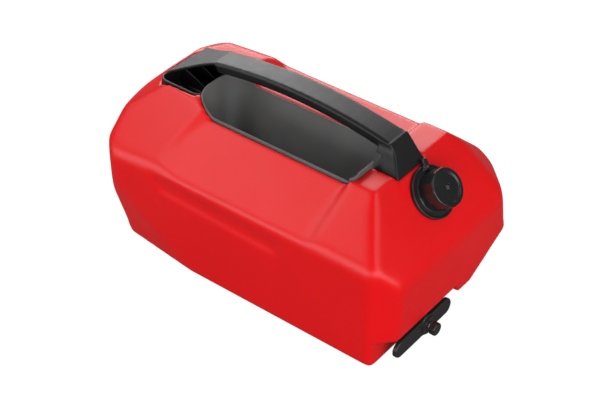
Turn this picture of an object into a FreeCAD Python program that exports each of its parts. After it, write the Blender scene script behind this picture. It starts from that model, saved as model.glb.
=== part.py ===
import FreeCAD, Part
import math
import os

# A lying fuel can: blow-moulded tank, black carry handle over a finger tray, screw cap and push-button tap.
# +X points to the cap end, -Y to the front and +Z up. The origin is under the middle, on the floor.
# All sizes are in millimetres.

# The model is drawn with X counted from the middle of the flat top and moved by this at export
SHIFT_X = 3.15

# Tank outline
LEFT_END = -195.3
LEFT_SLOPE_Z = 88.0
LEFT_BOTTOM_X = -171.8
RIGHT_END = 180.0
HALF_WIDTH = 116.5
FRONT_CREASE_Z = 119.5
BLOCK_TOP_Z = 175.5
BLOCK_TOP_HALF = 54.0
LEFT_FACET_Z = 149.0
RIGHT_CREASE_Z = 101.0
FACET_TILT = 50.0
RIGHT_END_LEAN = 1.7
LEFT_CORNER_CUT = 15.6
NEAR_CORNER_CUT = 23.0
FAR_CORNER_CUT = (34.0, 32.0)
FAR_CORNER_LEAN = 0.17
FAR_CORNER_Z = 95.0
FAR_VERTEX = (131.0, 116.5, 119.5)
FAR_VERTEX_NORMAL = (0.60, 0.62, 0.70)
LEFT_RIM_HALF = 45.0
LEFT_RIM_X = -168.0
LEFT_RIM_START = -86.0
LEFT_TOP_X = -168.5
TOP_CORNER = (-149.5, 45.3)
TOP_CORNER_HALF = 16.5
TOP_CORNER_Z = 135.0
LOW_CORNER_X = -67.0
LOW_CORNER_HALF = 105.0
LOW_CORNER_Z = 78.5
WALL = 3.0
CREASE_RADIUS = 24.0
CORNER_RADIUS = 7.0
BOTTOM_RADIUS = 6.0
SOFT_ANGLE = 15.0
CREASE_ANGLE = 51.0
CREASE_LOW_Z = 95.0
CREASE_LENGTH = 100.0

# Lower middle part of the top, between the two end blocks
MID_TOP_Z = 165.5
MID_TOP_HALF = 59.5
MID_CREASE_Z = 117.0
MID_LEFT_FOOT = -82.0
MID_LEFT_TOP = -101.0
MID_VALLEY_TIP = (-125.0, -103.0, 130.4)
MID_RIGHT_TOP = 91.0
MID_RIGHT_FOOT = 83.0
RIGHT_BLOCK_TOP_Z = 168.5

# Shallow flute along the front and back faces
FLUTE_LEFT = -132.0
FLUTE_RIGHT = 46.0
FLUTE_LOW_Z = 84.0
FLUTE_HIGH_Z = 104.0
FLUTE_DEPTH = 3.0
FLUTE_RISE = 6.0
FLUTE_SLANTS = (16.0, 4.0, 6.0, 3.0)

# Finger tray, given at its floor and at the height of its mouth
TRAY_WALL = 1.8
TRAY_FLOOR_Z = 121.0
TRAY_MOUTH_Z = 165.5
TRAY_FLOOR = (-90.0, 84.0, -54.5, -19.0)
TRAY_MOUTH = (-109.5, 94.5, -59.0, 8.0)
TRAY_FLOOR_RADII = (15.0, 4.0, 22.0, 16.0)
TRAY_MOUTH_RADII = (31.0, 5.0, 30.0, 26.0)
TRAY_RIM_HEIGHT = 0.4

# Handle
BAR_HALF = 14.6
BAR_THICK = 12.0
BAR_EDGE = 3.2
ARCH_LEFT = (-119.0, 193.0)
ARCH_TOP = (-24.0, 202.5)
ARCH_RIGHT = (106.0, 189.0)
TAIL_MID = (-146.0, 182.5)
TAIL_END = (-169.0, 173.5)
TAIL_SKIN = 3.6
FAN_NEAR = 40.0
FAN_FAR = 27.0
FAR_WALL = 3.0
FAR_WALL_HIGH = 30.0
FOOT_NEAR = 30.0
FOOT_FAR = 15.3
FOOT_INNER_X = 92.0
FOOT_SEAT_Z = 163.5
FOOT_TONGUE = (12.0, 30.0)
FOOT_TONGUE_DEPTH = 8.0

# Open ribbed pocket under the handle's left root
POCKET_LEFT = -167.0
POCKET_NEAR = 49.0
POCKET_FAR = 11.0
POCKET_FLOOR_Z = 150.0
POCKET_RADIUS = 10.0
POCKET_SKIN = 2.4
POCKET_LAP = 4.0
RIB_THICK = 2.2
RIB_PITCH = 18.0
RIB_COUNT = 2
RIB_FIRST_Y = -18.0

# Neck, on the right upper facet
NECK_RADIUS = 15.5
NECK_BORE = 12.5
NECK_HEIGHT = 17.0
NECK_UP_SLOPE = 53.0
THREAD_PITCH = 4.0
THREAD_TURNS = 2.1
THREAD_DEPTH = 1.2
THREAD_START = 6.4

# Cap
CAP_RADIUS = 20.4
CAP_BORE = 17.1
CAP_FOOT = 4.7
CAP_TOP = 25.2
CAP_FACETS = 12
CAP_CEILING = 19.0
SEAL_INNER = 13.2

# Collar round the foot of the neck
COLLAR_RADIUS = 27.4
COLLAR_BORE = 16.9
COLLAR_HEIGHT = 4.5
LUG_TURN = 18.0

# Recess under the right end
RECESS_BACK = 160.0
RECESS_TOP_Z = 31.4
RECESS_FLAT_Y = 8.0
RECESS_FAR_BACK = 146.0
TOOTH_Z = 21.0
TOOTH_END_Y = 34.0
RISE_END = (92.0, 52.0)

# Push-button tap in that recess, its axis along X
TAP_Y = -42.0
TAP_Z = 15.0
GASKET_THICK = 2.0
FLANGE_THICK = 3.5
FLANGE_LONG = 30.0
FLANGE_HIGH = 10.5
TAP_SCREW_REACH = 22.0
SPIGOT_RADIUS = 6.0
SPIGOT_TIP = 150.5
FLOW_RADIUS = 3.6
BARREL_RADIUS = 8.5
BARREL_TIP = 177.0
CHAMBER_BACK = 164.0
CHAMBER_RADIUS = 5.6
BONNET_BACK = 172.0
BONNET_FLANGE = 9.6
BONNET_TIP = 178.5
NOZZLE_X = 168.0
NOZZLE_RADIUS = 3.9
NOZZLE_BORE = 2.7
NOZZLE_LOW_Z = 1.5
WING_LONG = 48.0
WING_Y = -48.0
WING_HIGH = 9.5
WING_BACK = 172.2
STEM_RADIUS = 2.0
STEM_GAP = 0.06
LOOSE = 0.05
BUTTON_RADIUS = 7.0
BUTTON_TIP = 189.0
BUTTON_TRAVEL = 4.0
SEAL_RADIUS = 5.6
SEAL_THICK = 2.2
SPRING_WIRE = 0.8
SPRING_RADIUS = 4.0
SPRING_COILS = 3.5

# Screws and the brass inserts they run into
INSERT_RADIUS = 3.7
TAP_INSERT_RADIUS = 3.0

BIG = 700.0
UP = FreeCAD.Vector(0, 0, 1)


def vec(x, y, z):
    return FreeCAD.Vector(x, y, z)


def half_space(normal, point, inset=0.0):
    """Block that fills the outer side of a plane moved inwards by inset."""
    direction = vec(*normal).normalize()
    block = Part.makeBox(BIG, BIG, BIG, vec(-BIG / 2, -BIG / 2, 0))
    block.Placement = FreeCAD.Placement(vec(*point) - direction * inset, FreeCAD.Rotation(UP, direction))
    return block


def prism(points, travel):
    """Closed outline of points, pushed along travel."""
    corners = [vec(*p) for p in points]
    return Part.Face(Part.makePolygon(corners + corners[:1])).extrude(vec(*travel))


def mirrored(shape):
    """The same shape on the other side of the XZ plane."""
    return shape.mirror(vec(0, 0, 0), vec(0, 1, 0))


def cylinder(radius, low, high, x=0.0, y=0.0):
    return Part.makeCylinder(radius, high - low, vec(x, y, low))


def tube(outer, inner, low, high, x=0.0, y=0.0):
    return cylinder(outer, low, high, x, y).cut(cylinder(inner, low - 1, high + 1, x, y))


def outward_angle(edge, solid):
    """Angle in degrees between the outward normals of the two faces that meet at an edge."""
    normals = [f.normalAt(0, 0) for f in solid.ancestorsOfType(edge, Part.Face)]
    return math.degrees(normals[0].getAngle(normals[1]))


def straight_edges(solid, wanted):
    """Edges between two flat faces that pass the wanted test."""
    edges = []
    for edge in solid.Edges:
        if not isinstance(edge.Curve, Part.Line):
            continue
        faces = solid.ancestorsOfType(edge, Part.Face)
        if len(faces) == 2 and all(isinstance(f.Surface, Part.Plane) for f in faces):
            if wanted(edge):
                edges.append(edge)
    return edges


def soften(solid, inset):
    """Round the long shallow creases of the upper half widely, then the corners, then the bottom."""
    floor = solid.BoundBox.ZMin

    def is_crease(edge):
        shallow = SOFT_ANGLE < outward_angle(edge, solid) < CREASE_ANGLE
        return shallow and edge.CenterOfMass.z > CREASE_LOW_Z and edge.Length > CREASE_LENGTH

    def is_corner(edge):
        return outward_angle(edge, creased) > SOFT_ANGLE and edge.CenterOfMass.z > floor + 1

    creased = solid.makeFillet(CREASE_RADIUS - inset, straight_edges(solid, is_crease))
    rounded = creased.makeFillet(CORNER_RADIUS - inset, straight_edges(creased, is_corner))
    low = [e for e in rounded.Edges if e.BoundBox.ZMax < floor + 0.01]
    return rounded.makeFillet(BOTTOM_RADIUS - inset, low)


def tilt_vector(degrees):
    """Outward normal of a facet that faces +X, at degrees from level."""
    return (math.sin(math.radians(degrees)), 0.0, math.cos(math.radians(degrees)))


def plane_through(a, b, c, inside):
    """Outward normal and point of the plane through three points, facing away from a fourth."""
    normal = (vec(*b) - vec(*a)).cross(vec(*c) - vec(*a)).normalize()
    if (vec(*inside) - vec(*a)).dot(normal) > 0:
        normal = normal * -1
    return (tuple(normal), a)


def tank_planes():
    """Outward normal and a point for each face of the tank's faceted form."""
    middle = (0, 0, 80)
    lean = math.radians(RIGHT_END_LEAN)
    far_x, far_y = FAR_CORNER_CUT
    slope = (LEFT_END, 0, LEFT_SLOPE_Z)
    facet = (LEFT_END, 0, LEFT_FACET_Z)
    planes = [
        ((0, 0, -1), (0, 0, 0)),
        ((0, 0, 1), (0, 0, BLOCK_TOP_Z)),
        ((-1, 0, 0), (LEFT_END, 0, 0)),
        plane_through(slope, (LEFT_END, 1, LEFT_SLOPE_Z), (LEFT_BOTTOM_X, 0, 0), middle),
        plane_through(facet, (LEFT_END, 1, LEFT_FACET_Z), (LEFT_TOP_X, 0, BLOCK_TOP_Z), middle),
        ((math.cos(lean), 0, -math.sin(lean)), (RIGHT_END, 0, RIGHT_CREASE_Z)),
        (tilt_vector(FACET_TILT), (RIGHT_END, 0, RIGHT_CREASE_Z)),
        ((1, -1, 0), (RIGHT_END - NEAR_CORNER_CUT, -HALF_WIDTH, 0)),
        ((far_y, far_x, FAR_CORNER_LEAN * far_x), (RIGHT_END - far_x, HALF_WIDTH, FAR_CORNER_Z)),
        (FAR_VERTEX_NORMAL, FAR_VERTEX),
    ]
    for side in (-1, 1):
        rim = (LEFT_RIM_START, side * BLOCK_TOP_HALF, BLOCK_TOP_Z)
        crease = (LEFT_RIM_START, side * HALF_WIDTH, FRONT_CREASE_Z)
        planes.append(((0, side, 0), (0, side * HALF_WIDTH, 0)))
        planes.append(plane_through(rim, crease, (0, side * HALF_WIDTH, FRONT_CREASE_Z), middle))
        planes.append(plane_through(rim, crease, (LEFT_RIM_X, side * LEFT_RIM_HALF, BLOCK_TOP_Z), middle))
        edge = (LEFT_END + LEFT_CORNER_CUT, side * HALF_WIDTH, LOW_CORNER_Z)
        planes.append(((-1, side, 0), edge))
        face = (edge[0] - LEFT_CORNER_CUT / 2, edge[1] - side * LEFT_CORNER_CUT / 2, TOP_CORNER_Z)
        high = (TOP_CORNER[0], side * TOP_CORNER[1], BLOCK_TOP_Z)
        planes.append(plane_through(high, (LEFT_TOP_X, side * TOP_CORNER_HALF, BLOCK_TOP_Z), face, middle))
        low = (LOW_CORNER_X, side * HALF_WIDTH, 0)
        planes.append(plane_through(low, (LEFT_BOTTOM_X, side * LOW_CORNER_HALF, 0), edge, middle))
    return planes


def tank_block(inset):
    """Faceted form of the tank with sharp edges, every face moved in by inset."""
    solid = Part.makeBox(BIG, BIG, BIG, vec(-BIG / 2, -BIG / 2, -BIG / 2))
    for normal, point in tank_planes():
        solid = solid.cut(half_space(normal, point, inset))
    return solid.removeSplitter()


def tank_form(inset):
    """The same form with softened edges."""
    return soften(tank_block(inset), inset)


def mid_trough(grow):
    """What is missing from the top between the end blocks, grown by grow."""
    slope = (MID_TOP_Z - MID_CREASE_Z) / (HALF_WIDTH - MID_TOP_HALF)
    drop = grow * math.sqrt(1 + slope * slope)
    out = HALF_WIDTH + 20
    low = MID_CREASE_Z - 20 * slope - drop
    half = MID_TOP_HALF + (drop - grow) / slope
    top = MID_TOP_Z - grow
    high = BLOCK_TOP_Z + 20
    start = MID_VALLEY_TIP[0] - 20
    section = [(-out, low), (-half, top), (half, top), (out, low), (out, high), (-out, high)]
    trough = prism([(start, y, z) for y, z in section], (MID_RIGHT_TOP + 30 - start, 0, 0))
    steep = (MID_TOP_Z - FRONT_CREASE_Z, 0, -(MID_RIGHT_TOP - MID_RIGHT_FOOT))
    trough = trough.cut(half_space(steep, (MID_RIGHT_TOP, 0, MID_TOP_Z), -grow))
    foot = vec(MID_LEFT_FOOT, -MID_TOP_HALF, MID_TOP_Z)
    head = vec(MID_LEFT_TOP, -BLOCK_TOP_HALF, BLOCK_TOP_Z)
    tip = vec(*MID_VALLEY_TIP)
    valley = (head - foot).cross(tip - foot).normalize()
    if valley.x > 0:
        valley = valley * -1
    middle = (-(BLOCK_TOP_Z - MID_TOP_Z), 0, MID_LEFT_TOP - MID_LEFT_FOOT)
    parts = [trough.cut(half_space(middle, tuple(foot), -grow))]
    parts.append(trough.cut(half_space(tuple(valley), tuple(foot), -grow)))
    parts.append(mirrored(parts[1]))
    return parts[0].fuse(parts[1:]).removeSplitter()


def right_block_cut(grow):
    """Levels the top of the right end block."""
    low = RIGHT_BLOCK_TOP_Z - grow
    return Part.makeBox(BIG, BIG, BIG, vec(MID_RIGHT_FOOT - 10, -BIG / 2, low))


def round_outline(x0, x1, y0, y1, radii, z):
    """Rectangle with its own radius at each corner: left near, right near, right far, left far."""
    a, b, c, d = radii
    h = math.sqrt(0.5)
    points = [
        ((x0 + a, y0), (x1 - b, y0), (x1 - b + b * h, y0 + b - b * h), (x1, y0 + b)),
        ((x1, y0 + b), (x1, y1 - c), (x1 - c + c * h, y1 - c + c * h), (x1 - c, y1)),
        ((x1 - c, y1), (x0 + d, y1), (x0 + d - d * h, y1 - d + d * h), (x0, y1 - d)),
        ((x0, y1 - d), (x0, y0 + a), (x0 + a - a * h, y0 + a - a * h), (x0 + a, y0)),
    ]
    edges = []
    for start, end, middle, after in points:
        edges.append(Part.makeLine(vec(*start, z), vec(*end, z)))
        edges.append(Part.Arc(vec(*end, z), vec(*middle, z), vec(*after, z)).toShape())
    return Part.Wire(edges)


def basin(grow, low_z, high_z):
    """Sloping finger basin between two heights, its walls moved out by grow."""
    wires = []
    for z in (low_z, high_z):
        t = (z - TRAY_FLOOR_Z) / (TRAY_MOUTH_Z - TRAY_FLOOR_Z)
        x0, x1, y0, y1 = [a + (b - a) * t for a, b in zip(TRAY_FLOOR, TRAY_MOUTH)]
        radii = [a + (b - a) * t + grow for a, b in zip(TRAY_FLOOR_RADII, TRAY_MOUTH_RADII)]
        wires.append(round_outline(x0 - grow, x1 + grow, y0 - grow, y1 + grow, radii, z))
    return Part.makeLoft(wires, True, True)


def pocket(grow, low_z, high_z):
    """Pocket for the handle's left root. Its right side reaches into the basin."""
    wires = []
    slope = (TRAY_MOUTH[0] - TRAY_FLOOR[0]) / (TRAY_MOUTH_Z - TRAY_FLOOR_Z)
    left = POCKET_LEFT - grow
    near = -POCKET_NEAR - grow
    far = POCKET_FAR + grow
    for z in (low_z, high_z):
        right = TRAY_MOUTH[0] + slope * (z - TRAY_MOUTH_Z) + POCKET_LAP + grow
        wires.append(round_outline(left, right, near, far, [POCKET_RADIUS + grow] * 4, z))
    return Part.makeLoft(wires, True, True)


def tap_recess(grow):
    """Undercut below the right end. Its roof has a tooth and rises towards the far side."""
    far = HALF_WIDTH + 40
    rise_y, rise_z = RISE_END
    roof_slope = (rise_z - TOOTH_Z) / (rise_y - TOOTH_END_Y)
    roof_end = (far, TOOTH_Z + roof_slope * (far - TOOTH_END_Y))
    tooth = [(RECESS_FLAT_Y, RECESS_TOP_Z), (RECESS_FLAT_Y + 3, TOOTH_Z), (TOOTH_END_Y, TOOTH_Z)]
    if grow:
        tooth = [(RECESS_FLAT_Y + 10, RECESS_TOP_Z)]
    roof = [(-BIG, RECESS_TOP_Z)] + tooth + [roof_end]
    under = prism([(0, y, z + grow) for y, z in roof] + [(0, far, -BIG), (0, -BIG, -BIG)], (BIG, 0, 0))
    back_slope = (RECESS_BACK - RECESS_FAR_BACK) / (HALF_WIDTH - RECESS_FLAT_Y)
    far_back = RECESS_FAR_BACK - back_slope * (far - HALF_WIDTH)
    back = [(RECESS_BACK, -BIG), (RECESS_BACK, RECESS_FLAT_Y), (far_back, far)]
    plan = [(x - grow, y, -BIG) for x, y in back] + [(BIG, far, -BIG), (BIG, -BIG, -BIG)]
    return under.common(prism(plan, (0, 0, 2 * BIG)))


def flute(side):
    """Shallow tapering groove with sloping sides under the crease of the front or back face."""
    face = side * HALF_WIDTH
    floor = side * (HALF_WIDTH - FLUTE_DEPTH)
    mouth = [
        (FLUTE_LEFT, FLUTE_HIGH_Z + FLUTE_RISE), (FLUTE_LEFT + 14, FLUTE_LOW_Z + FLUTE_RISE),
        (FLUTE_RIGHT, FLUTE_LOW_Z), (FLUTE_RIGHT + 6, FLUTE_HIGH_Z)
    ]
    middle = ((FLUTE_LEFT + FLUTE_RIGHT) / 2, face, (FLUTE_LOW_Z + FLUTE_HIGH_Z) / 2)
    corner = vec(FLUTE_LEFT - 10, min(floor, floor + 2 * side * FLUTE_DEPTH), FLUTE_LOW_Z - 10)
    groove = Part.makeBox(FLUTE_RIGHT - FLUTE_LEFT + 30, 2 * FLUTE_DEPTH, 50, corner)
    for i, slant in enumerate(FLUTE_SLANTS):
        (ax, az), (bx, bz) = mouth[i], mouth[(i + 1) % 4]
        length = math.hypot(bx - ax, bz - az)
        inward = ((az - bz) / length * slant, (bx - ax) / length * slant)
        deep = (ax + inward[0], floor, az + inward[1])
        groove = groove.cut(half_space(*plane_through((ax, face, az), (bx, face, bz), deep, middle)))
    return groove


def flute_room(side):
    """What the flute takes from the inside of the tank."""
    depth = HALF_WIDTH - FLUTE_DEPTH - WALL
    near = depth if side > 0 else -depth - BIG
    return Part.makeBox(FLUTE_RIGHT - FLUTE_LEFT + 12, BIG, 32, vec(FLUTE_LEFT - 3, near, FLUTE_LOW_Z - 4))


def neck_place(shape):
    """Move a shape drawn on the Z axis to the neck's place on the right upper facet."""
    tilt = math.radians(FACET_TILT)
    x = RIGHT_END - NECK_UP_SLOPE * math.cos(tilt)
    z = RIGHT_CREASE_Z + NECK_UP_SLOPE * math.sin(tilt)
    placed = shape.copy()
    place = FreeCAD.Placement(vec(x, 0, z), FreeCAD.Rotation(vec(0, 1, 0), FACET_TILT))
    placed.Placement = place.multiply(shape.Placement)
    return placed


def thread(radius, crest, start, turns):
    """One helical ridge. It points outwards if crest is larger than radius."""
    helix = Part.makeHelix(THREAD_PITCH, THREAD_PITCH * turns, radius)
    sink = 0.3 if crest > radius else -0.3
    points = [(radius - sink, -1.0), (crest, -0.5), (crest, 0.5), (radius - sink, 1.0)]
    corners = [vec(r, 0, z) for r, z in points]
    profile = Part.makePolygon(corners + corners[:1])
    ridge = Part.Wire(helix.Edges).makePipeShell([profile], True, True)
    ridge.translate(vec(0, 0, start))
    return ridge


def oblong(half_length, half_height, x0, x1, y, z):
    """Plate with round ends, across the X axis."""
    reach = half_length - half_height
    plate = Part.makeBox(x1 - x0, 2 * reach, 2 * half_height, vec(x0, y - reach, z - half_height))
    for side in (-1, 1):
        plate = plate.fuse(along_x(half_height, x0, x1, y + side * reach, z))
    return plate.removeSplitter()


def along_x(radius, x0, x1, y, z):
    return Part.makeCylinder(radius, x1 - x0, vec(x0, y, z), vec(1, 0, 0))


def tank_outside(gap):
    """Outside of the tank without neck and holes, grown a little by gap for what rests on it."""
    outer = tank_form(0)
    outer.translate(vec(0, 0, gap))
    outer = outer.cut(basin(TRAY_WALL, TRAY_FLOOR_Z - TRAY_WALL, BLOCK_TOP_Z + 8))
    outer = outer.cut(pocket(0, POCKET_FLOOR_Z, BLOCK_TOP_Z + 8))
    cutters = [mid_trough(-gap), right_block_cut(-gap), flute(-1), flute(1)]
    cutters += [tap_recess(0), foot_socket(0), foot_seat()]
    for cutter in cutters:
        outer = outer.cut(cutter)
    return outer


def tank_shell():
    outer = tank_outside(0)
    cavity = tank_block(WALL).cut(basin(TRAY_WALL + WALL, TRAY_FLOOR_Z - TRAY_WALL - WALL, BLOCK_TOP_Z + 8))
    cavity = cavity.cut(pocket(WALL, POCKET_FLOOR_Z - WALL, BLOCK_TOP_Z + 8))
    keep = [mid_trough(WALL), right_block_cut(WALL), tap_recess(WALL), foot_socket(WALL)]
    keep.append(Part.makeBox(BIG, BIG, BIG, vec(FOOT_INNER_X, -BIG / 2, FOOT_SEAT_Z - WALL)))
    keep += [flute_room(-1), flute_room(1)]
    for x, y in screw_places():
        keep.append(cylinder(7.5, POCKET_FLOOR_Z - 17, POCKET_FLOOR_Z, x, y))
    for y in tap_screw_places():
        keep.append(along_x(6.5, RECESS_BACK - 14, RECESS_BACK, y, TAP_Z))
    for cutter in keep:
        cavity = cavity.cut(cutter)
    shell = outer.cut(cavity)
    neck = cylinder(NECK_RADIUS, -8, NECK_HEIGHT)
    neck = neck.fuse(thread(NECK_RADIUS, NECK_RADIUS + THREAD_DEPTH, THREAD_START, THREAD_TURNS))
    shell = shell.fuse(neck_place(neck))
    bore = cylinder(NECK_BORE, -30, NECK_HEIGHT + 1)
    seat = cylinder(NECK_BORE + 1.1, NECK_HEIGHT - 1.6, NECK_HEIGHT + 1)
    shell = shell.cut(neck_place(bore.fuse(seat)))
    shell = shell.cut(along_x(SPIGOT_RADIUS + 0.3, RECESS_BACK - 20, RECESS_BACK + 5, TAP_Y, TAP_Z))
    for x, y in screw_places():
        shell = shell.cut(cylinder(INSERT_RADIUS, POCKET_FLOOR_Z - 12, POCKET_FLOOR_Z + 1, x, y))
    for y in tap_screw_places():
        shell = shell.cut(along_x(TAP_INSERT_RADIUS, RECESS_BACK - 10, RECESS_BACK + 1, y, TAP_Z))
    return shell


def screw_places():
    """Handle screws, in the open cell of the left pocket."""
    return [(-152.0, -33.0), (-130.0, -33.0)]


def tap_screw_places():
    return [TAP_Y - TAP_SCREW_REACH, TAP_Y + TAP_SCREW_REACH]


def foot_socket(grow):
    """Socket under the handle's right foot for its tongue."""
    length, width = FOOT_TONGUE
    low = FOOT_SEAT_Z - FOOT_TONGUE_DEPTH - grow
    corner = vec(FOOT_INNER_X + 12 - grow, -22 - grow, low)
    return Part.makeBox(length + 2 * grow, width + 2 * grow, FOOT_SEAT_Z + 5 - low, corner)


def foot_seat():
    """Flat seat for the handle's right foot."""
    corner = vec(FOOT_INNER_X - 1.2, -FOOT_NEAR - 0.2, FOOT_SEAT_Z)
    return Part.makeBox(BIG, FOOT_NEAR + FOOT_FAR + 0.4, BIG, corner)


def carry_handle():
    """Arched bar, flared right foot with a tongue, and a fanned left root over a ribbed pocket."""
    top = [vec(x, 0, z) for x, z in (ARCH_LEFT, ARCH_TOP, ARCH_RIGHT)]
    low = [p - vec(0, 0, BAR_THICK) for p in top]
    low[0] += vec(6, 0, 0.6)
    low[2] += vec(-6, 0, 0.6)
    edges = [
        Part.Arc(*top).toShape(), Part.makeLine(top[2], low[2]),
        Part.Arc(*low).toShape(), Part.makeLine(low[0], top[0])
    ]
    bar = Part.Face(Part.Wire(edges)).extrude(vec(0, 2 * BAR_HALF, 0))
    bar.translate(vec(0, -BAR_HALF, 0))
    bar = bar.makeFillet(BAR_EDGE, [e for e in bar.Edges if isinstance(e.Curve, Part.Circle)])
    handle = bar.fuse([left_fan(), left_root(), right_foot()]).removeSplitter()
    return handle.cut(tank_outside(0.1)).cut(basin(TRAY_WALL, TRAY_FLOOR_Z - 2, BLOCK_TOP_Z + 1.5))


def curve(points, z):
    """Smooth curve through plan points at one height."""
    spline = Part.BSplineCurve()
    spline.interpolate([vec(x, y, z) for x, y in points])
    return spline.toShape()


def slab(drop, width):
    """Skin under the arc of the handle's tail, as thick as drop, centred on the XZ plane."""
    top = [vec(x, 0, z) for x, z in (ARCH_LEFT, TAIL_MID, TAIL_END)]
    low = [p - vec(0, 0, drop) for p in top]
    edges = [
        Part.Arc(*top).toShape(), Part.makeLine(top[2], low[2]),
        Part.Arc(*low).toShape(), Part.makeLine(low[0], top[0])
    ]
    skin = Part.Face(Part.Wire(edges)).extrude(vec(0, width, 0))
    skin.translate(vec(0, -width / 2, 0))
    return skin


def fan_mask(far_shift):
    """Plan outline of the fan as a tall prism, its far edge moved out by far_shift."""
    start = ARCH_LEFT[0] + 6
    end = TAIL_END[0] - 3
    near = curve([(start, -BAR_HALF), (start - 18, -BAR_HALF - 1.6), (-147, -23), (end, -FAN_NEAR)], 0)
    far = curve([(start, BAR_HALF), (start - 20, BAR_HALF + 1.0), (-152, 20), (end, FAN_FAR)], 0)
    far.translate(vec(0, far_shift, 0))
    ends = []
    for x, near_y, far_y in ((start, -BAR_HALF, BAR_HALF), (end, -FAN_NEAR, FAN_FAR)):
        ends.append(Part.makeLine(vec(x, near_y, 0), vec(x, far_y + far_shift, 0)))
    outline = Part.Wire(Part.sortEdges([near, far] + ends)[0])
    return Part.Face(outline).extrude(vec(0, 0, 300))


def left_fan():
    """Top skin that spreads from the bar over the left end block, with a wall down its far side."""
    width = 4 * FAN_NEAR
    fan = slab(TAIL_SKIN, width).common(fan_mask(0))
    wall = slab(FAR_WALL_HIGH, width).common(fan_mask(0)).cut(fan_mask(-FAR_WALL))
    x, z = ARCH_LEFT
    section = [(x, z), (x + 6.5, z + 1.2), (x + 8, z - BAR_THICK + 1.6), (x, z - BAR_THICK)]
    joint = prism([(a, 0, b) for a, b in section], (0, 2 * BAR_HALF - 2 * BAR_EDGE, 0))
    joint.translate(vec(0, -BAR_HALF + BAR_EDGE, 0))
    fan = fan.fuse([wall, joint])
    return fan.cut(half_space((-1, 0, 0), (POCKET_LEFT + 0.2, 0, 0)))


def left_root():
    """Lining of the left pocket, with ribs that carry the fan."""
    floor = POCKET_FLOOR_Z
    rim = BLOCK_TOP_Z - 1.5
    lining = pocket(-0.15, floor + 0.1, rim)
    lining = lining.cut(pocket(-POCKET_SKIN, floor + POCKET_SKIN, rim + 1))
    left = POCKET_LEFT + 1
    right = TRAY_MOUTH[0] - 8
    tops = [(left, 171.5), (-158, 174.5), (-150, 171), (-126, 159), (right, 157)]
    section = [(left, floor + 1)] + tops + [(right, floor + 1)]
    for i in range(RIB_COUNT):
        rib = prism([(x, 0, z) for x, z in section], (0, RIB_THICK, 0))
        rib.translate(vec(0, RIB_FIRST_Y + i * RIB_PITCH - RIB_THICK / 2, 0))
        lining = lining.fuse(rib.common(pocket(-0.5, floor + 0.5, BLOCK_TOP_Z + 20)))
    for x, y in screw_places():
        lining = lining.fuse(cylinder(6.5, floor + 0.1, floor + 6, x, y))
        lining = lining.cut(cylinder(2.3, floor - 1, floor + 9, x, y))
    return lining


def right_foot():
    """Foot that flares on its near side, cut to the plane of the right facet."""
    low = FOOT_SEAT_Z + 0.1
    high = 189.5
    near = [(-FOOT_NEAR, low), (-25, 171), (-BAR_HALF - 2.6, 180), (-BAR_HALF, high)]
    flare = Part.BSplineCurve()
    flare.interpolate([vec(0, y, z) for y, z in near])
    outline = [(-BAR_HALF, high), (BAR_HALF, high), (FOOT_FAR, low), (-FOOT_NEAR, low)]
    corners = [vec(0, y, z) for y, z in outline]
    edges = [flare.toShape()] + [Part.makeLine(a, b) for a, b in zip(corners, corners[1:])]
    block = Part.Face(Part.Wire(edges)).extrude(vec(60, 0, 0))
    block.translate(vec(FOOT_INNER_X, 0, 0))
    block = block.cut(half_space(tilt_vector(FACET_TILT), (RIGHT_END, 0, RIGHT_CREASE_Z)))
    block = block.cut(half_space((-60, 0, -26), (FOOT_INNER_X, 0, 176)))
    tongue = foot_socket(-0.2)
    tongue.translate(vec(0, 0, 0.3))
    tongue = tongue.common(Part.makeBox(BIG, BIG, 20, vec(0, -BIG / 2, FOOT_SEAT_Z - 18)))
    return block.fuse(tongue)


def finger_tray():
    """Lining of the finger basin, its rim standing a little above the tank."""
    tray = basin(TRAY_WALL - 0.1, TRAY_FLOOR_Z - TRAY_WALL + 0.1, BLOCK_TOP_Z + 6)
    tray = tray.common(tank_block(-TRAY_RIM_HEIGHT).cut(mid_trough(-TRAY_RIM_HEIGHT)))
    tray = tray.cut(basin(0, TRAY_FLOOR_Z, BLOCK_TOP_Z + 8))
    return tray.cut(foot_seat())


def handle_screws():
    """Pan-head screws that hold the left root."""
    low = POCKET_FLOOR_Z + 6
    screws = []
    for x, y in screw_places():
        head = cylinder(4.2, low, low + 3, x, y)
        head = head.makeFillet(1.4, [e for e in head.Edges if e.CenterOfMass.z > low + 2.5 and e.Closed])
        head = head.cut(Part.makeBox(6, 1.2, 3, vec(x - 3, y - 0.6, low + 1.6)))
        head = head.cut(Part.makeBox(1.2, 6, 3, vec(x - 0.6, y - 3, low + 1.6)))
        screws.append(head.fuse(cylinder(2.0, POCKET_FLOOR_Z - 10.5, low, x, y)).removeSplitter())
    return screws


def threaded_inserts():
    """Brass inserts for the handle screws and the tap screws."""
    inserts = []
    for x, y in screw_places():
        inserts.append(tube(INSERT_RADIUS, 2.0, POCKET_FLOOR_Z - 11.8, POCKET_FLOOR_Z, x, y))
    for y in tap_screw_places():
        insert = along_x(TAP_INSERT_RADIUS, RECESS_BACK - 9.8, RECESS_BACK, y, TAP_Z)
        inserts.append(insert.cut(along_x(1.5, RECESS_BACK - 11, RECESS_BACK + 1, y, TAP_Z)))
    return inserts


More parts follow.
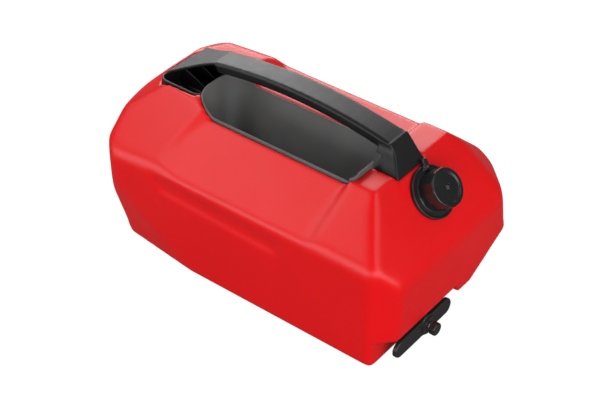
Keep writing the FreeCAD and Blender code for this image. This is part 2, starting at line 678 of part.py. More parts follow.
def tap_screws():
    """Screws through the tap's flange."""
    front = RECESS_BACK + GASKET_THICK + FLANGE_THICK
    screws = []
    for y in tap_screw_places():
        head = along_x(3.2, front, front + 2.2, y, TAP_Z)
        head = head.makeFillet(1.0, [e for e in head.Edges if e.CenterOfMass.x > front + 2 and e.Closed])
        head = head.cut(Part.makeBox(2, 4.6, 0.9, vec(front + 1.2, y - 2.3, TAP_Z - 0.45)))
        head = head.cut(Part.makeBox(2, 0.9, 4.6, vec(front + 1.2, y - 0.45, TAP_Z - 2.3)))
        screws.append(head.fuse(along_x(1.5, RECESS_BACK - 9, front, y, TAP_Z)).removeSplitter())
    return screws


def tap_gasket():
    """Flat gasket between the flange and the recess."""
    front = RECESS_BACK + GASKET_THICK
    plate = oblong(FLANGE_LONG, FLANGE_HIGH, RECESS_BACK, front, TAP_Y, TAP_Z)
    plate = plate.cut(along_x(SPIGOT_RADIUS + LOOSE, RECESS_BACK - 1, front + 1, TAP_Y, TAP_Z))
    for y in tap_screw_places():
        plate = plate.cut(along_x(1.7, RECESS_BACK - 1, front + 1, y, TAP_Z))
    return plate


def tap_body():
    """Flange, spigot with the valve seat, barrel and downward nozzle."""
    back = RECESS_BACK + GASKET_THICK
    front = back + FLANGE_THICK
    body = oblong(FLANGE_LONG, FLANGE_HIGH, back, front, TAP_Y, TAP_Z)
    body = body.fuse([
        along_x(SPIGOT_RADIUS, SPIGOT_TIP, front, TAP_Y, TAP_Z),
        along_x(BARREL_RADIUS, back, BARREL_TIP, TAP_Y, TAP_Z),
        cylinder(NOZZLE_RADIUS, NOZZLE_LOW_Z, TAP_Z, NOZZLE_X, TAP_Y),
    ])
    body = body.cut(along_x(FLOW_RADIUS, SPIGOT_TIP - 1, CHAMBER_BACK + 1, TAP_Y, TAP_Z))
    body = body.cut(along_x(CHAMBER_RADIUS, CHAMBER_BACK, BARREL_TIP + 1, TAP_Y, TAP_Z))
    body = body.cut(cylinder(NOZZLE_BORE, NOZZLE_LOW_Z - 1, TAP_Z, NOZZLE_X, TAP_Y))
    for y in tap_screw_places():
        body = body.cut(along_x(1.7, back - 1, front + 1, y, TAP_Z))
    return body.removeSplitter()


def finger_wings():
    """Two rounded wings on a ring that slips over the barrel."""
    plate = oblong(WING_LONG, WING_HIGH, WING_BACK, BARREL_TIP, WING_Y, TAP_Z)
    plate = plate.fuse(along_x(BARREL_RADIUS + 3.4, WING_BACK, BARREL_TIP, TAP_Y, TAP_Z)).removeSplitter()
    rims = [e for e in plate.Edges if abs(e.CenterOfMass.x - BARREL_TIP) < 0.01]
    plate = plate.makeFillet(1.4, rims)
    return plate.cut(along_x(BARREL_RADIUS + LOOSE, WING_BACK - 1, BARREL_TIP + 1, TAP_Y, TAP_Z))


def tap_bonnet():
    """Plug that closes the barrel, holds the wings and guides the stem."""
    plug = along_x(CHAMBER_RADIUS - LOOSE, BONNET_BACK, BARREL_TIP, TAP_Y, TAP_Z)
    plug = plug.fuse(along_x(BONNET_FLANGE, BARREL_TIP, BONNET_TIP, TAP_Y, TAP_Z))
    plug = plug.cut(along_x(STEM_RADIUS + STEM_GAP, BONNET_BACK - 1, BONNET_TIP + 1, TAP_Y, TAP_Z))
    return plug.cut(along_x(3.7, BONNET_BACK - 1, BONNET_BACK + 2.2, TAP_Y, TAP_Z)).removeSplitter()


def stem_oring():
    """Seals the stem in the bonnet."""
    ring = Part.makeTorus(2.9, 0.8, vec(BONNET_BACK + 1.1, TAP_Y, TAP_Z), vec(1, 0, 0))
    return ring


def valve_stem():
    """Stem from the riveted end behind the seal to the button."""
    low = SPIGOT_TIP - SEAL_THICK - 0.8
    stem = along_x(STEM_RADIUS, low - 1.0, BUTTON_TIP - 2.0, TAP_Y, TAP_Z)
    return stem.fuse(along_x(STEM_RADIUS + 0.7, low - 1.0, low, TAP_Y, TAP_Z)).removeSplitter()


def valve_seal():
    """Rubber disc that closes the seat from inside the tank."""
    low = SPIGOT_TIP - SEAL_THICK
    disc = along_x(SEAL_RADIUS, low, SPIGOT_TIP, TAP_Y, TAP_Z)
    return disc.cut(along_x(STEM_RADIUS, low - 1, SPIGOT_TIP + 1, TAP_Y, TAP_Z))


def seal_washer():
    low = SPIGOT_TIP - SEAL_THICK - 0.8
    disc = along_x(STEM_RADIUS + 1.8, low, low + 0.8, TAP_Y, TAP_Z)
    return disc.cut(along_x(STEM_RADIUS, low - 1, low + 2, TAP_Y, TAP_Z))


def tap_button():
    """Cup-shaped button over the return spring."""
    skirt = BONNET_TIP + BUTTON_TRAVEL + 0.3
    cup = along_x(BUTTON_RADIUS, skirt, BUTTON_TIP, TAP_Y, TAP_Z)
    cup = cup.makeFillet(1.2, [e for e in cup.Edges if e.CenterOfMass.x > BUTTON_TIP - 0.1 and e.Closed])
    return cup.cut(along_x(BUTTON_RADIUS - 1.6, skirt - 1, BUTTON_TIP - 2.0, TAP_Y, TAP_Z))


def return_spring():
    """Compression spring between the bonnet and the button."""
    length = BUTTON_TIP - 2.0 - BONNET_TIP - SPRING_WIRE
    pitch = length / SPRING_COILS
    helix = Part.makeHelix(pitch, length, SPRING_RADIUS)
    along = vec(0, 2 * math.pi * SPRING_RADIUS, pitch)
    wire = Part.Wire([Part.makeCircle(SPRING_WIRE / 2, vec(SPRING_RADIUS, 0, 0), along)])
    coil = Part.Wire(helix.Edges).makePipeShell([wire], True, True)
    coil.Placement = FreeCAD.Placement(
        vec(BONNET_TIP + SPRING_WIRE / 2, TAP_Y, TAP_Z), FreeCAD.Rotation(vec(0, 1, 0), 90)
    )
    return coil


def polygon_prism(radius, count, low, high):
    points = []
    for i in range(count):
        turn = 2 * math.pi * (i + 0.5) / count
        points.append((radius * math.cos(turn), radius * math.sin(turn), low))
    return prism(points, (0, 0, high - low))


def cap_shell():
    """Faceted screw cap with a dished top and an inner thread."""
    grip = polygon_prism(CAP_RADIUS, CAP_FACETS, CAP_FOOT, CAP_TOP)
    limit = cylinder(CAP_RADIUS - 0.2, CAP_FOOT, CAP_TOP)
    limit = limit.makeFillet(1.6, [e for e in limit.Edges if e.CenterOfMass.z > CAP_TOP - 0.1 and e.Closed])
    cap = grip.common(limit)
    cap = cap.cut(cylinder(CAP_BORE, CAP_FOOT - 1, CAP_CEILING))
    cap = cap.cut(Part.makeCone(14.6, 15.8, 1.2, vec(0, 0, CAP_TOP - 1.2)))
    cap = cap.cut(cylinder(1.6, CAP_CEILING - 1, CAP_TOP + 1))
    for i in range(3):
        turn = 2 * math.pi * i / 3
        x, y = 3.4 * math.cos(turn), 3.4 * math.sin(turn)
        cap = cap.cut(cylinder(0.8, CAP_CEILING - 1, CAP_TOP + 1, x, y))
    start = THREAD_START + THREAD_PITCH / 2
    return neck_place(cap.fuse(thread(CAP_BORE, CAP_BORE - THREAD_DEPTH, start, THREAD_TURNS)))


def cap_seal():
    """Flat ring between the cap's ceiling and the neck."""
    return neck_place(tube(NECK_RADIUS, SEAL_INNER, NECK_HEIGHT, CAP_CEILING - LOOSE))


def cap_vent_valve():
    """Umbrella valve that lets air in through the cap while the tap pours."""
    valve = cylinder(6.0, CAP_CEILING - 0.9, CAP_CEILING)
    valve = valve.fuse(cylinder(1.55, CAP_CEILING - 1.5, CAP_TOP - 0.6))
    valve = valve.fuse(Part.makeCone(2.4, 1.4, 0.9, vec(0, 0, CAP_TOP - 1.2)))
    return neck_place(valve.removeSplitter())


def filler_screen():
    """Strainer basket that hangs in the neck."""
    rim = tube(NECK_BORE + 0.9, NECK_BORE - 1.8, NECK_HEIGHT - 1.6, NECK_HEIGHT - 0.4)
    wall = tube(NECK_BORE - 0.5, NECK_BORE - 1.7, NECK_HEIGHT - 30, NECK_HEIGHT - 1)
    floor = cylinder(NECK_BORE - 0.5, NECK_HEIGHT - 31.2, NECK_HEIGHT - 30)
    basket = rim.fuse([wall, floor])
    slot_count = 10
    for i in range(slot_count):
        for low in (NECK_HEIGHT - 28.5, NECK_HEIGHT - 22.5):
            slot = Part.makeBox(NECK_BORE + 2, 3.2, 4.6, vec(0, -1.6, low))
            slot.rotate(vec(0, 0, 0), UP, 360.0 * i / slot_count)
            basket = basket.cut(slot)
    for i in range(6):
        turn = 2 * math.pi * i / 6
        hole = cylinder(2.4, NECK_HEIGHT - 33, NECK_HEIGHT - 28, 6.6 * math.cos(turn), 6.6 * math.sin(turn))
        basket = basket.cut(hole)
    return neck_place(basket.removeSplitter())


def collar_frame(shape):
    """Turn a collar detail to the side where the photograph shows it."""
    shape.rotate(vec(0, 0, 0), UP, 180.0 - LUG_TURN)
    return shape


def neck_collar():
    """Flat ring round the neck, with a rim and a lug towards the handle."""
    ring = tube(COLLAR_RADIUS, COLLAR_BORE, 0, 3.2)
    ring = ring.fuse(tube(COLLAR_RADIUS, COLLAR_RADIUS - 2.2, 0, COLLAR_HEIGHT))
    ring = ring.fuse(tube(COLLAR_BORE + 2.6, COLLAR_BORE, 0, COLLAR_HEIGHT))
    lug = Part.makeBox(12.5, 7.0, COLLAR_HEIGHT + 1.2, vec(CAP_RADIUS + 1.0, -3.5, 0))
    lug = lug.makeFillet(1.0, [e for e in lug.Edges if e.CenterOfMass.z > COLLAR_HEIGHT + 1.1])
    ring = ring.fuse(collar_frame(lug)).removeSplitter()
    ring = ring.cut(collar_frame(cylinder(1.5, 2.0, COLLAR_HEIGHT + 3, CAP_RADIUS + 4.6)))
    return neck_place(ring)


def collar_pin():
    """Round pin in the collar's lug."""
    pin = cylinder(1.5, 2.0, COLLAR_HEIGHT + 1.8, CAP_RADIUS + 4.6)
    return neck_place(collar_frame(pin))


def export(name, shape):
    """Write one node."""
    solids = shape if isinstance(shape, list) else [shape]
    whole = Part.makeCompound(solids) if len(solids) > 1 else solids[0]
    whole.translate(vec(SHIFT_X, 0, 0))
    whole.exportStep("parts/%s.step" % name)
    print(name, "solids", len(whole.Solids), "valid", whole.isValid(), "volume %.0f" % whole.Volume)


os.makedirs("parts", exist_ok=True)
pieces = [tank_shell, threaded_inserts, carry_handle, handle_screws, finger_tray]
pieces += [neck_collar, collar_pin, filler_screen, cap_shell, cap_seal, cap_vent_valve]
pieces += [tap_body, tap_gasket, tap_screws, finger_wings, tap_bonnet, tap_button]
pieces += [valve_stem, valve_seal, seal_washer, stem_oring, return_spring]
for make in pieces:
    export(make.__name__, make())
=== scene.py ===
import math
import bpy
import bmesh
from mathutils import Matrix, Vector


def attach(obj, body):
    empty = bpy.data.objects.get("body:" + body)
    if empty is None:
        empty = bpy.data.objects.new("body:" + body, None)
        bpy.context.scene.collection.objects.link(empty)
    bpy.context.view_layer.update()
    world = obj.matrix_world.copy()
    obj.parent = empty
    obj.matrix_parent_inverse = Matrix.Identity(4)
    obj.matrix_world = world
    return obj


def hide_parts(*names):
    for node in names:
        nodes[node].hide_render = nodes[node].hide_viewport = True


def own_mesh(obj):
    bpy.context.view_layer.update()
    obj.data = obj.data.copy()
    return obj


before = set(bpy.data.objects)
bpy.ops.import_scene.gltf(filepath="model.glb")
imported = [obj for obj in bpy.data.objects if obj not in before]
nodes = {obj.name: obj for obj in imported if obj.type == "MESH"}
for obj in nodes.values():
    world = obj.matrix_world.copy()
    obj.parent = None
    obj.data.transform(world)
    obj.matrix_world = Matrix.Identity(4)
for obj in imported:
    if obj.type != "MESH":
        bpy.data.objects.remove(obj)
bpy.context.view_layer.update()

# Camera, fitted to the photograph
AZIMUTH = 37.76
ELEVATION = 37.91
DISTANCE = 1.5496
TARGET = Vector((0.02315, 0.0, 0.0919))
LENS = 89.98
SENSOR_WIDTH = 36.0
SHIFT_X = -0.0482
SHIFT_Y = -0.0263
VIEW_DEPTH = 20.0

# Point that every lamp faces
LAMP_AIM = (0, 0, 0.1)

# Pale surround, where 1 is white: how much of it gloss and clear parts show, and how much light it gives
SEEN_IN_GLOSS = 0.1
WORLD_LIGHT = 0.08

# Floor: colour under the lamps, brightness of its own, size, and how far it lies below the can
FLOOR_COLOUR = 0.09
FLOOR_WHITE = 0.96
FLOOR_SIZE = 24.0
FLOOR_DROP = 0.0002

# Neck axis. Its base lies UP_SLOPE up the right facet from the facet's foot
TILT = math.radians(50.0)
FACET_FOOT_X = 0.18315
FACET_FOOT_Z = 0.101
UP_SLOPE = 0.053
NECK_BASE_X = FACET_FOOT_X - UP_SLOPE * math.cos(TILT)
NECK_BASE_Z = FACET_FOOT_Z + UP_SLOPE * math.sin(TILT)
NECK_BASE = Vector((NECK_BASE_X, 0.0, NECK_BASE_Z))
NECK_AXIS = Vector((math.sin(TILT), 0.0, math.cos(TILT)))

# Where the crisp neck takes over from the softened tank, along the axis and aside of it
NECK_FOOT = 0.0003
NECK_CUT = 0.0022
NECK_REACH = 0.0195
BORE_REACH = 0.0142
BORE_LOW = -0.012
SHARP_ANGLE = math.radians(30.0)

# Corners of the CAD mesh that are closer than this are one
MERGE = 1e-6

# Hole for the tap's spigot: its axis in Y and Z, a little over its radius, its run in X
TAP_HOLE = (-0.042, 0.015)
TAP_HOLE_REACH = 0.0068
TAP_HOLE_SPAN = (0.150, 0.1632)
HOLE_WALL_SLANT = 0.3

# Where the tank's creases are smoothed more broadly
BROAD_Y = 0.066
BROAD_LEFT = 0.173
BROAD_RIGHT = 0.128
BROAD_RECESS = 0.136
RECESS_CLEAR = 0.058
BASE_CLEAR = 0.012
NECK_CLEAR = 0.031
BROAD_FADE = 0.008
BROAD_ROUNDS = 40
SMOOTHING = 0.5

# Valley left of the tray, and how much of that smoothing it is spared
VALLEY_SPAN = (-0.132, -0.070)
VALLEY_LOW = 0.122
VALLEY_SPARED = 0.85

# Moulded plastic: spread of its colour and of its roughness, scale and depth of its grain
MOTTLING = 0.12
GLOSSIEST = 0.86
DULLEST = 1.16
GRAIN_SCALE = 2600.0
GRAIN_DEPTH = 0.00008

# Tarnish darkens metal, bloom lightens rubber
TARNISH = 0.75
BLOOM = 1.6
RUBBER_ROUGHNESS = 0.78


def aim(obj, point):
    """Turn a camera or lamp towards a point."""
    sight = Vector(point) - obj.location
    obj.rotation_euler = sight.to_track_quat("-Z", "Y").to_euler()


def direction(azimuth, elevation):
    """Unit vector away from the can. Azimuth runs from the front towards the right end."""
    a = math.radians(azimuth)
    e = math.radians(elevation)
    return Vector((math.sin(a) * math.cos(e), -math.cos(a) * math.cos(e), math.sin(e)))


def add_camera():
    data = bpy.data.cameras.new("camera")
    data.lens = LENS
    data.sensor_width = SENSOR_WIDTH
    data.shift_x = SHIFT_X
    data.shift_y = SHIFT_Y
    data.clip_end = VIEW_DEPTH
    camera = bpy.data.objects.new("camera", data)
    bpy.context.scene.collection.objects.link(camera)
    camera.location = TARGET + direction(AZIMUTH, ELEVATION) * DISTANCE
    aim(camera, TARGET)
    bpy.context.scene.camera = camera


def add_lamp(name, azimuth, elevation, distance, size, radiance):
    """Soft box that points at the can."""
    data = bpy.data.lights.new(name, "AREA")
    data.shape = "RECTANGLE"
    data.size, data.size_y = size
    data.energy = radiance * math.pi * size[0] * size[1]
    lamp = bpy.data.objects.new(name, data)
    bpy.context.scene.collection.objects.link(lamp)
    lamp.location = direction(azimuth, elevation) * distance
    aim(lamp, LAMP_AIM)


class Shader:
    """Small helper around a material's node tree."""

    def __init__(self, name):
        self.material = bpy.data.materials.new(name)
        self.material.use_nodes = True
        self.tree = self.material.node_tree
        self.tree.nodes.clear()
        out = self.tree.nodes.new("ShaderNodeOutputMaterial")
        self.bsdf = self.tree.nodes.new("ShaderNodeBsdfPrincipled")
        self.link(self.bsdf.outputs[0], out.inputs[0])
        self.coords = self.tree.nodes.new("ShaderNodeTexCoord").outputs["Object"]

    def link(self, a, b):
        self.tree.links.new(a, b)

    def set(self, **values):
        """Set plain values on the shader's own sockets."""
        for key, value in values.items():
            self.bsdf.inputs[key.replace("_", " ")].default_value = value

    def noise(self, scale, detail=4.0, roughness=0.6, distortion=0.0):
        node = self.tree.nodes.new("ShaderNodeTexNoise")
        node.inputs["Scale"].default_value = scale
        node.inputs["Detail"].default_value = detail
        node.inputs["Roughness"].default_value = roughness
        node.inputs["Distortion"].default_value = distortion
        self.link(self.coords, node.inputs["Vector"])
        return node.outputs["Fac"]

    def ramp(self, value, stops):
        """Grey ramp from (position, value) pairs."""
        node = self.tree.nodes.new("ShaderNodeValToRGB")
        for element, (place, grey) in zip(node.color_ramp.elements, stops):
            element.position = place
            element.color = (grey, grey, grey, 1)
        self.link(value, node.inputs["Fac"])
        return node.outputs["Color"]

    def patches(self, scale, detail, low, high):
        """Soft patches: 0 where the noise is below low, 1 where it is above high."""
        return self.ramp(self.noise(scale, detail), [(low, 0.0), (high, 1.0)])

    def mix(self, factor, a, b):
        """Colour between a and b, each a socket or a plain colour."""
        node = self.tree.nodes.new("ShaderNodeMix")
        node.data_type = "RGBA"
        self.link(factor, node.inputs[0])
        for value, socket in ((a, node.inputs[6]), (b, node.inputs[7])):
            if isinstance(value, tuple):
                socket.default_value = (*value, 1)
            else:
                self.link(value, socket)
        return node.outputs[2]

    def bump(self, height, distance, strength, before=None):
        node = self.tree.nodes.new("ShaderNodeBump")
        node.inputs["Strength"].default_value = strength
        node.inputs["Distance"].default_value = distance
        self.link(height, node.inputs["Height"])
        if before:
            self.link(before, node.inputs["Normal"])
        return node.outputs["Normal"]

    def colour(self, socket):
        self.link(socket, self.bsdf.inputs["Base Color"])

    def roughness(self, socket):
        self.link(socket, self.bsdf.inputs["Roughness"])

    def normal(self, socket):
        self.link(socket, self.bsdf.inputs["Normal"])


def tinted(colour, factor):
    return tuple(c * factor for c in colour)


def plastic(name, colour, rough, level=0.5):
    """Moulded plastic: slightly uneven colour, uneven gloss and a fine grain."""
    s = Shader(name)
    dark = tinted(colour, 1 - MOTTLING)
    light = tinted(colour, 1 + MOTTLING)
    s.colour(s.mix(s.patches(14.0, 3.0, 0.35, 0.65), dark, light))
    smear = s.noise(55.0, detail=5.0, roughness=0.7, distortion=0.4)
    s.roughness(s.ramp(smear, [(0.3, rough * GLOSSIEST), (0.75, rough * DULLEST)]))
    s.set(Specular_IOR_Level=level)
    grain = s.bump(s.noise(GRAIN_SCALE, detail=2.0, roughness=0.5), GRAIN_DEPTH, strength=0.5)
    s.normal(s.bump(s.noise(90.0, detail=2.0), 0.0002, strength=0.25, before=grain))
    return s.material


def red_plastic():
    """Satin polyethylene: faintly clouded colour, orange peel and a soft sheen."""
    s = Shader("tank_red")
    base = s.mix(s.patches(9.0, 3.0, 0.3, 0.7), (0.78, 0.0025, 0.0045), (0.82, 0.0035, 0.006))
    scratches = s.noise(420.0, detail=6.0, roughness=0.75, distortion=0.6)
    scuffs = s.ramp(scratches, [(0.66, 0.0), (0.80, 0.5)])
    s.colour(s.mix(scuffs, base, (0.82, 0.015, 0.016)))
    smear = s.noise(40.0, detail=5.0, roughness=0.7)
    s.roughness(s.ramp(smear, [(0.3, 0.32), (0.75, 0.39)]))
    s.set(Specular_IOR_Level=0.42)
    grain = s.bump(s.noise(1500.0, detail=3.0), 0.00008, strength=0.35)
    peel = s.bump(s.noise(240.0, detail=2.0), 0.0001, strength=0.25, before=grain)
    s.normal(s.bump(s.noise(26.0, detail=2.0), 0.0008, strength=0.15, before=peel))
    return s.material


def metal(name, colour, rough):
    """Metal with a fine texture and a little tarnish."""
    s = Shader(name)
    s.colour(s.mix(s.patches(160.0, 4.0, 0.4, 0.7), colour, tinted(colour, TARNISH)))
    fine = s.noise(2400.0, detail=2.0, roughness=0.5)
    s.roughness(s.ramp(fine, [(0.3, rough * 0.7), (0.7, rough * 1.4)]))
    s.set(Metallic=1.0)
    s.normal(s.bump(fine, 0.00004, strength=0.5))
    return s.material


def rubber(name, colour):
    """Matt rubber with a faint bloom."""
    s = Shader(name)
    s.colour(s.mix(s.patches(300.0, 3.0, 0.45, 0.75), colour, tinted(colour, BLOOM)))
    s.set(Roughness=RUBBER_ROUGHNESS)
    s.normal(s.bump(s.noise(1800.0, detail=2.0), 0.0001, strength=0.5))
    return s.material


def paint(obj, material):
    """Give an object one material."""
    obj.data.materials.clear()
    obj.data.materials.append(material)


def backdrop_sight(tree):
    """1 for camera rays, SEEN_IN_GLOSS for rays that gloss or clear parts send out, 0 for the rest."""
    path = tree.nodes.new("ShaderNodeLightPath")
    either = tree.nodes.new("ShaderNodeMath")
    either.operation = "MAXIMUM"
    tree.links.new(path.outputs["Is Glossy Ray"], either.inputs[0])
    tree.links.new(path.outputs["Is Transmission Ray"], either.inputs[1])
    sight = tree.nodes.new("ShaderNodeMath")
    sight.operation = "MULTIPLY_ADD"
    sight.inputs[1].default_value = SEEN_IN_GLOSS
    tree.links.new(either.outputs[0], sight.inputs[0])
    tree.links.new(path.outputs["Is Camera Ray"], sight.inputs[2])
    return sight.outputs[0]


def scaled(tree, value, factor, add=0.0):
    """The value times factor, plus add."""
    node = tree.nodes.new("ShaderNodeMath")
    node.operation = "MULTIPLY_ADD"
    node.inputs[1].default_value = factor
    node.inputs[2].default_value = add
    tree.links.new(value, node.inputs[0])
    return node.outputs[0]


def floor():
    """Pale floor that looks white. Its own brightness leaves the can only a very faint shadow."""
    material = bpy.data.materials.new("floor")
    material.use_nodes = True
    tree = material.node_tree
    tree.nodes.clear()
    out = tree.nodes.new("ShaderNodeOutputMaterial")
    matt = tree.nodes.new("ShaderNodeBsdfDiffuse")
    matt.inputs["Color"].default_value = (FLOOR_COLOUR, FLOOR_COLOUR, FLOOR_COLOUR, 1)
    glow = tree.nodes.new("ShaderNodeEmission")
    tree.links.new(scaled(tree, backdrop_sight(tree), FLOOR_WHITE), glow.inputs["Strength"])
    both = tree.nodes.new("ShaderNodeAddShader")
    tree.links.new(matt.outputs[0], both.inputs[0])
    tree.links.new(glow.outputs[0], both.inputs[1])
    tree.links.new(both.outputs[0], out.inputs[0])
    bpy.ops.mesh.primitive_plane_add(size=FLOOR_SIZE, location=(0, 0, -FLOOR_DROP))
    plane = bpy.context.object
    plane.name = "floor"
    plane.data.materials.append(material)


def surround():
    """Plain even world that shows white behind the can."""
    world = bpy.data.worlds.new("world")
    world.use_nodes = True
    tree = world.node_tree
    background = tree.nodes["Background"]
    background.inputs["Color"].default_value = (1, 1, 1, 1)
    strength = scaled(tree, backdrop_sight(tree), 1.0 - WORLD_LIGHT, WORLD_LIGHT)
    tree.links.new(strength, background.inputs["Strength"])
    bpy.context.scene.world = world


def neck_place(point):
    """How far a point is along the neck's axis, and how far aside of it."""
    offset = point - NECK_BASE
    along = offset.dot(NECK_AXIS)
    return along, (offset - along * NECK_AXIS).length


def on_neck(face, low):
    """Whether a face belongs to the crisp neck: above low, or in the bore."""
    along, aside = neck_place(face.calc_center_median())
    if along > low:
        return aside < NECK_REACH
    return along > BORE_LOW and aside < BORE_REACH


def in_tap_hole(face):
    """Whether a face is part of the wall of the hole for the tap's spigot."""
    x, y, z = face.calc_center_median()
    aside = math.hypot(y - TAP_HOLE[0], z - TAP_HOLE[1])
    within = TAP_HOLE_SPAN[0] < x < TAP_HOLE_SPAN[1]
    return within and aside < TAP_HOLE_REACH and abs(face.normal.x) < HOLE_WALL_SLANT


def merged(mesh):
    """Editable copy of a CAD mesh with its split corners joined."""
    bm = bmesh.new()
    bm.from_mesh(mesh)
    bmesh.ops.remove_doubles(bm, verts=bm.verts, dist=MERGE)
    bm.normal_update()
    return bm


def drop_faces(bm, is_gone):
    """Delete the faces for which is_gone is true."""
    bmesh.ops.delete(bm, geom=[f for f in bm.faces if is_gone(f)], context="FACES")


def without_neck(bm):
    """Cut the neck off at its foot."""
    near = [f for f in bm.faces if (f.calc_center_median() - NECK_BASE).length < 2 * NECK_REACH]
    # Keys of a dict keep their order, so each run cuts the same way
    corners = dict.fromkeys(v for f in near for v in f.verts)
    edges = dict.fromkeys(e for f in near for e in f.edges)
    plane = NECK_BASE + NECK_AXIS * NECK_CUT
    bmesh.ops.bisect_plane(bm, geom=[*corners, *edges, *near], plane_co=plane, plane_no=NECK_AXIS)
    drop_faces(bm, lambda face: on_neck(face, NECK_CUT))


def outer_skin(bm):
    """Keep the outside of the hollow tank and close the neck and the tap hole."""
    without_neck(bm)
    drop_faces(bm, in_tap_hole)
    leftmost = min(bm.faces, key=lambda face: face.calc_center_median().x)
    outside = {leftmost}
    border = [leftmost]
    while border:
        for edge in border.pop().edges:
            for face in edge.link_faces:
                if face not in outside:
                    outside.add(face)
                    border.append(face)
    drop_faces(bm, lambda face: face not in outside)
    bmesh.ops.holes_fill(bm, edges=[e for e in bm.edges if e.is_boundary], sides=0)


def add_smoothing(piece, name, rounds):
    smooth = piece.modifiers.new(name, "SMOOTH")
    smooth.factor = SMOOTHING
    smooth.iterations = rounds
    return smooth


def apply_modifier(piece, name):
    with bpy.context.temp_override(object=piece, active_object=piece, selected_objects=[piece]):
        bpy.ops.object.modifier_apply(modifier=name)


def soften(piece, voxel, rounds):
    """Round every edge of a piece by a voxel remesh and smoothing."""
    remesh = piece.modifiers.new("remesh", "REMESH")
    remesh.mode = "VOXEL"
    remesh.voxel_size = voxel
    remesh.use_smooth_shade = True
    add_smoothing(piece, "smooth", rounds)
    apply_modifier(piece, "remesh")
    apply_modifier(piece, "smooth")


def fade_in(value, low):
    """0 up to low, 1 from BROAD_FADE above it, a straight line between."""
    return min(1.0, max(0.0, (value - low) / BROAD_FADE))


def broad_weight(point):
    """1 on the outer faces of the tank, 0 round tray, pocket, neck, recess and underside."""
    x, y, z = point
    aside = neck_place(point)[1]
    outer = max(fade_in(abs(y), BROAD_Y), fade_in(-x, BROAD_LEFT), fade_in(x, BROAD_RIGHT))
    valley = min(fade_in(x, VALLEY_SPAN[0]), fade_in(-x, -VALLEY_SPAN[1]), fade_in(z, VALLEY_LOW))
    recess = max(fade_in(-x, -BROAD_RECESS), fade_in(z, RECESS_CLEAR))
    outer *= 1.0 - VALLEY_SPARED * valley
    return min(outer, fade_in(aside, NECK_CLEAR), recess, fade_in(z, BASE_CLEAR))


def round_creases(piece):
    """Smooth the broad outer creases further than the edges round the openings."""
    group = piece.vertex_groups.new(name="broad")
    for vert in piece.data.vertices:
        weight = broad_weight(vert.co)
        if weight > 0:
            group.add([vert.index], weight, "REPLACE")
    add_smoothing(piece, "broad", BROAD_ROUNDS).vertex_group = "broad"
    apply_modifier(piece, "broad")
    piece.vertex_groups.clear()


def add_neck(piece):
    """Put the crisp neck and thread of the CAD on the softened tank."""
    whole = bmesh.new()
    whole.from_mesh(piece.data)
    without_neck(whole)
    neck = merged(nodes["tank_shell"].data)
    drop_faces(neck, lambda face: not on_neck(face, NECK_FOOT))
    for face in neck.faces:
        face.smooth = True
    for edge in neck.edges:
        edge.smooth = edge.is_boundary or edge.calc_face_angle(0.0) < SHARP_ANGLE
    crisp = bpy.data.meshes.new("neck")
    neck.to_mesh(crisp)
    whole.from_mesh(crisp)
    whole.to_mesh(piece.data)
    neck.free()
    whole.free()


def copied(node, name):
    """Copy of a CAD node's object, as a piece of its own."""
    piece = bpy.data.objects.new(name, nodes[node].data.copy())
    bpy.context.scene.collection.objects.link(piece)
    return piece


def softened(node, name, body, voxel, rounds):
    """Copy of a CAD node with the soft edges that moulding leaves."""
    piece = copied(node, name)
    if node == "tank_shell":
        skin = merged(piece.data)
        outer_skin(skin)
        skin.to_mesh(piece.data)
        skin.free()
    soften(piece, voxel, rounds)
    if node == "tank_shell":
        round_creases(piece)
        add_neck(piece)
    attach(piece, body)
    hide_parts(node)
    return piece


add_camera()
bpy.context.scene.view_settings.view_transform = "Standard"
surround()
floor()

# Name, azimuth, elevation, distance, size, radiance
lamps = [
    ("left", -60, 44, 1.9, (1.6, 0.6), 2.9),
    ("back", -138, 30, 1.9, (1.5, 1.3), 4.2),
    ("front", -22, 11, 2.0, (2.4, 0.8), 3.0),
    ("side", 64, 15, 2.2, (3.6, 1.8), 3.0),
    ("right", 100, 55, 2.2, (1.4, 1.4), 1.5),
]
for lamp in lamps:
    add_lamp(*lamp)

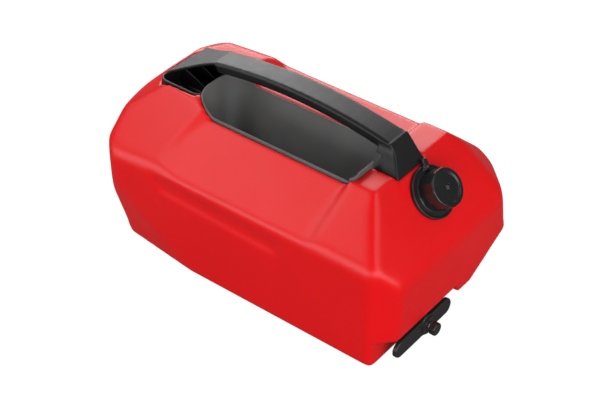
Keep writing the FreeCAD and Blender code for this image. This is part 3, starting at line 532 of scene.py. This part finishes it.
handle = plastic("handle_black", (0.006, 0.006, 0.0063), 0.40, level=0.4)
# The tray is black plastic like the handle. Its mid-grey colour is a painted sheen that takes the place
# of the reflection on its panel, and its gloss is lowered to go with it.
tray = plastic("tray_black", (0.12, 0.117, 0.115), 0.5, level=0.3)
collar = plastic("collar_black", (0.012, 0.012, 0.0125), 0.34)
cap = plastic("cap_black", (0.009, 0.010, 0.010), 0.26)
tap = plastic("tap_black", (0.014, 0.014, 0.0145), 0.42)

# Piece, CAD node, body, slot, voxel, smoothing rounds, material
soft = [
    ("tank_skin", "tank_shell", "tank", "tank_red", 0.002, 9, red_plastic()),
    ("handle_skin", "carry_handle", "tank", "handle_black", 0.0008, 5, handle),
    ("tray_skin", "finger_tray", "tank", "tray_black", 0.0007, 3, tray),
    ("collar_skin", "neck_collar", "tank", "collar_black", 0.0005, 3, collar),
    ("cap_skin", "cap_shell", "cap", "cap_black", 0.0004, 3, cap),
    ("tap_skin", "tap_body", "tank", "tap_black", 0.0004, 3, tap),
    ("wings_skin", "finger_wings", "tank", "tap_black", 0.0005, 4, tap),
]
for name, node, body, slot, voxel, rounds, material in soft:
    paint(softened(node, name, body, voxel, rounds), material)

# The spring, which gets shorter as the button goes in, becomes a piece with a mesh of its own
spring = copied("return_spring", "spring_coil")
paint(spring, metal("spring_steel", (0.5, 0.5, 0.51), 0.28))
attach(spring, "tank")
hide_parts("return_spring")
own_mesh(spring)

# CAD nodes that stay as they are
seal = rubber("seal_rubber", (0.02, 0.02, 0.02))
steel = metal("stem_steel", (0.6, 0.6, 0.61), 0.25)
looks = {
    "collar_pin": plastic("pin_grey", (0.10, 0.10, 0.105), 0.35),
    "filler_screen": plastic("screen_grey", (0.28, 0.28, 0.29), 0.5),
    "cap_seal": seal,
    "cap_vent_valve": rubber("vent_rubber", (0.04, 0.04, 0.041)),
    "tap_gasket": seal,
    "tap_screws": metal("screw_steel", (0.5, 0.5, 0.51), 0.35),
    "tap_bonnet": plastic("bonnet_black", (0.022, 0.022, 0.023), 0.4),
    "tap_button": plastic("button_black", (0.014, 0.014, 0.0145), 0.28),
    "valve_stem": steel,
    "valve_seal": seal,
    "seal_washer": steel,
    "stem_oring": seal,
    "handle_screws": metal("zinc_steel", (0.52, 0.52, 0.53), 0.35),
    "threaded_inserts": metal("insert_brass", (0.72, 0.50, 0.20), 0.3),
}
for node, material in looks.items():
    paint(nodes[node], material)
